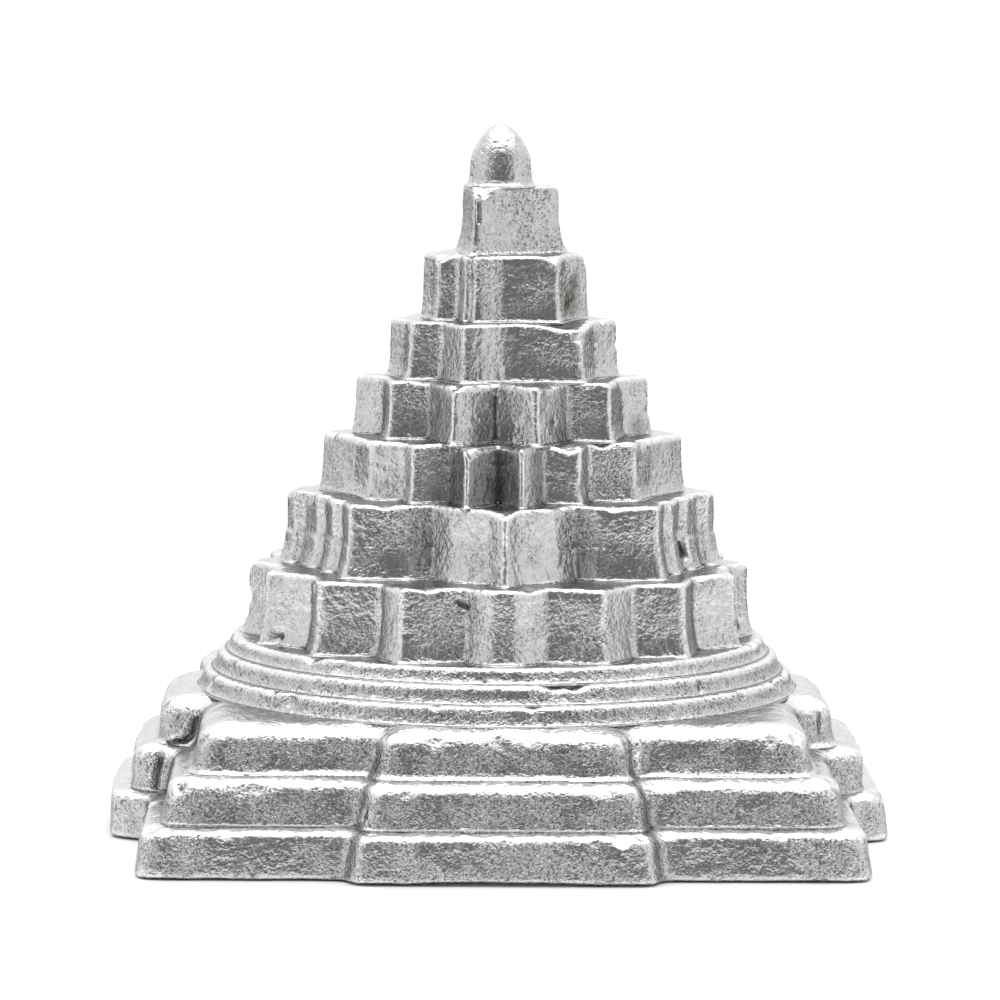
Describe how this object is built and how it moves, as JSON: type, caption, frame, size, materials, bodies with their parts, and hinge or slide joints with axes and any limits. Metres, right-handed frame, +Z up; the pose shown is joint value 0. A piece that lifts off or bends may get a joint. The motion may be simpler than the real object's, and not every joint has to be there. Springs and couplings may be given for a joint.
{
  "type": "shri yantra",
  "caption": "Raised shri yantra cast in white metal: square courses with gates, round steps, petal and star tiers, a triangle and a domed tip.",
  "frame": {"origin": "centre of the flat underside", "axes": "+Z up through the tip; the square sides run along X and Y, and the front faces -Y"},
  "size_m": [0.0556, 0.0544, 0.0507],
  "materials": {
    "cast_white_metal": "as cast, bright, with a fine grain and worn edges"
  },
  "bodies": {
    "root": {"lower_square_course": "cast_white_metal", "middle_square_course": "cast_white_metal", "upper_square_course": "cast_white_metal", "lower_round_step": "cast_white_metal", "middle_round_step": "cast_white_metal", "upper_round_step": "cast_white_metal", "sixteen_petal_tier": "cast_white_metal", "eight_petal_tier": "cast_white_metal", "outer_star_tier": "cast_white_metal", "second_star_tier": "cast_white_metal", "third_star_tier": "cast_white_metal", "inner_star_tier": "cast_white_metal", "summit_triangle": "cast_white_metal", "domed_tip": "cast_white_metal"}
  },
  "joints": []
}
